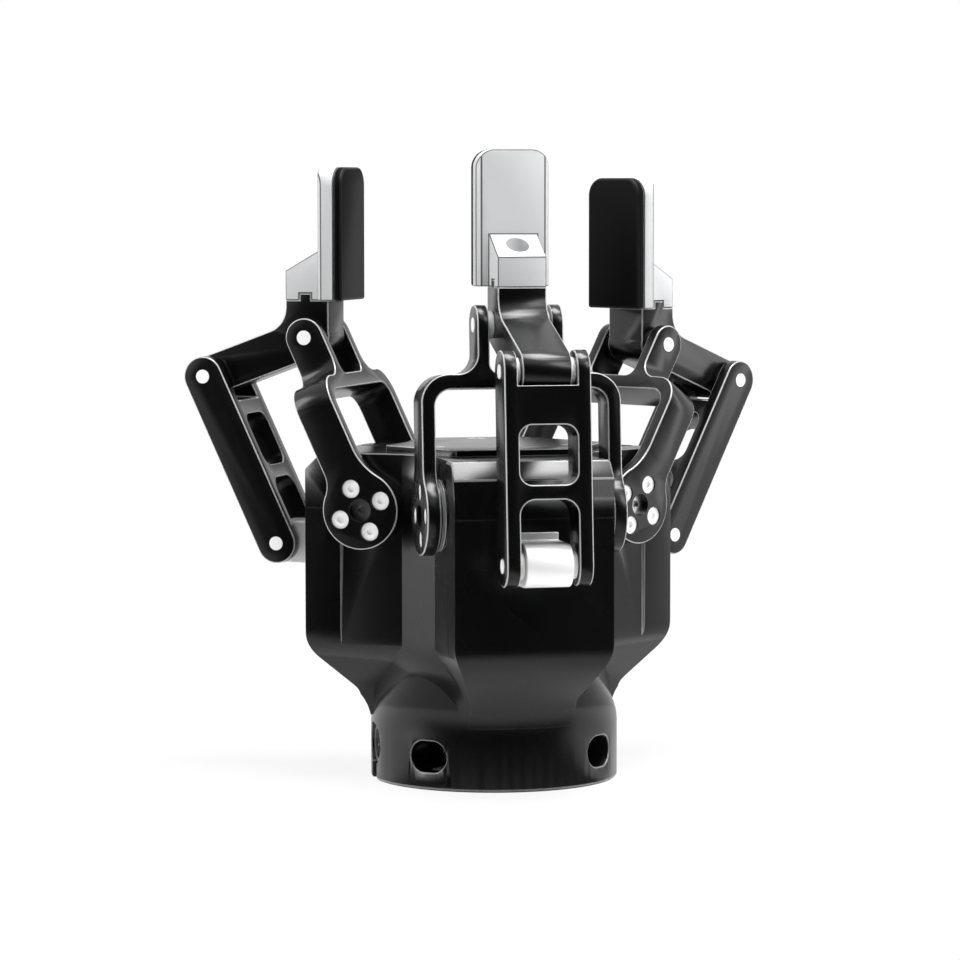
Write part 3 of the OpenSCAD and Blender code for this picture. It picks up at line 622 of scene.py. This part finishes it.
# %% Bronze, plastic, rubber and board
bronze = finish(
    "bronze", (0.60, 0.36, 0.14), (0.85, 0.60, 0.32), rough=0.34, metal=1.0,
    edge_radius=0.0003, lines=5000.0, bump=0.2)
white_plastic = finish(
    "white_plastic", (0.82, 0.82, 0.80), (0.86, 0.86, 0.84), rough=0.45,
    grain=1800.0, bump=0.05)
pad_rubber = finish(
    "pad_rubber", (0.002, 0.002, 0.0022), (0.006, 0.006, 0.006), rough=0.5, level=0.05,
    edge_radius=0.0007, edge_share=0.5, grain=1500.0, bump=0.25)
board_green = finish(
    "board_green", (0.01, 0.10, 0.035), (0.25, 0.23, 0.12), rough=0.3, grain=900.0, bump=0.05)
finishes = {
    "black_anodised": black_anodised, "silver_aluminium": silver_aluminium,
    "light_aluminium": light_aluminium, "bright_steel": bright_steel, "steel": steel,
    "bronze": bronze, "white_plastic": white_plastic, "pad_rubber": pad_rubber,
    "board_green": board_green,
}
print("finishes:", len(finishes))

# %% [markdown]
# ## Broken edges
# No machined part leaves the bench with a razor edge: a file or a chamfer tool takes off a
# few tenths of a millimetre, and that narrow band is what catches light along every outline.
# The solids have sharp edges, so each visible one is copied and a Bevel modifier cuts the
# band along chosen edges. Chamfers in the solids themselves would be exact too, but they
# would make every solid heavier for a band that only the eye needs.
#
# Two tables from the record say which finish and which body each node has.

# %% Which body and finish a node has
slot_of = {row["node"]: row["material_slot"] for row in frame["record"]["subparts"]}
body_of = {
    node: body
    for body, nodes in frame["record"]["behaviour"]["bodies"].items()
    for node in nodes
}
print("nodes with a finish:", len(slot_of), "nodes with a body:", len(body_of))

# %% [markdown]
# Which edges get a chamfer? Bevelling all of them by angle is the quick way, but screw holes
# and other tiny rims then crowd each other. So the sharp edges are followed from corner to
# corner into chains, and only chains that run round something large are kept. Shallow
# creases get no chamfer but are marked sharp, so that the faces beside them shade flat.

# %% Outlines worth a chamfer
shallow_crease = 16


def outlines(edit, left_sharp, turn=32, smallest=0.009):
    """Edges to bevel: they turn by more than turn degrees, round more than smallest metres.

    Shallow creases and small rims such as screw holes stay sharp, and so do edges for
    whose corners left_sharp is true."""
    creases = {e: e.calc_face_angle(0) for e in edit.edges if len(e.link_faces) == 2
               and e.calc_face_angle(0) > math.radians(shallow_crease)}
    for edge in creases:
        edge.smooth = False
    sharp = {e for e, angle in creases.items() if angle > math.radians(turn)
             and not any(left_sharp(v.co) for v in e.verts)}
    chosen = []
    while sharp:
        chain, queue = [], [sharp.pop()]
        while queue:
            edge = queue.pop()
            chain.append(edge)
            near = {e for v in edge.verts for e in v.link_edges if e in sharp}
            sharp -= near
            queue.extend(near)
        corners = [v.co for e in chain for v in e.verts]
        if max(max(c[i] for c in corners) - min(c[i] for c in corners)
               for i in range(3)) > smallest:
            chosen += chain
    return chosen


print("helper: outlines")

# %% [markdown]
# The round base and the lobed body of the housing are one piece of metal, kept as two solids
# that meet face to face. Joining their meshes would leave the two touching faces inside and
# a seam outside, so a Boolean union with the exact solver fuses them into one skin.

# %% Fused skin
def fused_mesh(name, node, other):
    """One mesh from two nodes that meet face to face, without the faces between them."""
    thing = bpy.data.objects.new(name, frame["nodes"][node].data.copy())
    bpy.context.collection.objects.link(thing)
    union = thing.modifiers.new("union", "BOOLEAN")
    union.operation, union.solver = "UNION", "EXACT"
    union.object = frame["nodes"][other]
    graph = bpy.context.evaluated_depsgraph_get()
    mesh = bpy.data.meshes.new_from_object(thing.evaluated_get(graph))
    bpy.data.objects.remove(thing)
    return mesh


print("helper: fused_mesh")

# %% [markdown]
# Dressing a node puts the steps together: copy the mesh, join its flat faces, choose the
# outlines, bevel them with the chamfer finish in the second material slot, and harden the
# normals so that the flat faces stay flat to the eye. The modifier works from edge weights,
# because a limit by angle would catch the small rims too. The copy replaces the sharp solid,
# takes over its finish slot and rides on the same body.

# %% Dress one node
merge_distance, flat_angle = 0.00002, math.radians(0.6)


def dress(nodes, width, left_sharp=lambda corner: False, mesh=None, face=None, edge_face=None):
    """A copy of the nodes with broken edges and their finish; it replaces them."""
    node = nodes[0]
    mesh = mesh or frame["nodes"][node].data.copy()
    mesh.name = node + "_dressed"
    mesh.materials.clear()
    slot = slot_of[node]
    mesh.materials.append(face or finishes[slot])
    # The second slot holds the chamfer finish: a painted highlight or painted shade along the
    # bevel.
    mesh.materials.append(edge_face or chamfers.get(slot, finishes[slot]))
    edit = bmesh.new()
    edit.from_mesh(mesh)
    bmesh.ops.remove_doubles(edit, verts=edit.verts, dist=merge_distance)
    bmesh.ops.dissolve_limit(
        edit, angle_limit=flat_angle, verts=edit.verts, edges=edit.edges)
    for f in edit.faces:
        f.smooth = True
        f.material_index = 0
    weight = edit.edges.layers.float.new("bevel_weight_edge")
    for edge in outlines(edit, left_sharp):
        edge[weight] = 1.0
        edge.smooth = True
    edit.to_mesh(mesh)
    edit.free()
    piece = bpy.data.objects.new(node + "_dressed", mesh)
    bpy.context.collection.objects.link(piece)
    bevel = piece.modifiers.new("broken_edges", "BEVEL")
    bevel.width, bevel.segments = width, 2
    bevel.limit_method = "WEIGHT"
    bevel.use_clamp_overlap = False
    bevel.harden_normals = True
    bevel.material = 1
    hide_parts(*nodes)
    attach(piece, body_of[node])
    return piece


print("helper: dress")

# %% [markdown]
# Each finger has the same seven pieces with edges that can be seen. The rubber pad is
# moulded and gets the widest edge; fingertips, turned rings and brackets get the narrowest.

# %% Dress the fingers
edge_widths = {
    "crank": 0.00035, "outer_link": 0.00035, "knuckle": 0.00035, "fingertip": 0.0003,
    "rubber_pad": 0.0007, "link_bracket": 0.0003, "crank_hubs": 0.0003,
}
for finger in fingers:
    for part, width in edge_widths.items():
        dress((finger + "_" + part,), width)

# %% [markdown]
# On the housing three places stay without a chamfer. Cap and body are closed against each
# other and machined together, so their joint is only a hairline. The foot's creases are
# blended by its finish, so a bright line along them would be wrong. And the underside stands
# flat on the table.

# %% Dress the housing
split_height, foot_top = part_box("housing_cap")[0][2], 0.0405
seam_reach, foot_margin, underside = 0.00005, 0.001, 0.0005


def stays_sharp(corner):
    """True on the split between cap and body, on the blended foot and on the underside."""
    on_split = abs(corner.z - split_height) < seam_reach
    on_foot = foot_deck - foot_margin < corner.z < foot_top
    return on_split or on_foot or corner.z < underside


dress(("palm_plate",), 0.0003)
dress(("housing_cap",), 0.00035, left_sharp=stays_sharp,
      face=black_housing, edge_face=housing_chamfer_highlight)
dress(("housing_body", "housing_base"), 0.00035, left_sharp=stays_sharp,
      face=black_housing, edge_face=housing_chamfer_highlight,
      mesh=fused_mesh("housing_skin", "housing_body", "housing_base"))

# %% [markdown]
# All other solids, such as pins, screws, bushes, motors and the board, are small or inside.
# They could be dressed too, but that would add many faces for edges nobody sees, so each
# keeps its mesh and only gets its finish. The loop goes over every node of the frame.

# %% Finish the plain nodes
for node, thing in frame["nodes"].items():
    for slot in thing.material_slots:
        slot.link = "OBJECT"
        slot.material = finishes[slot_of[node]]
print("finished nodes:", len(frame["nodes"]))
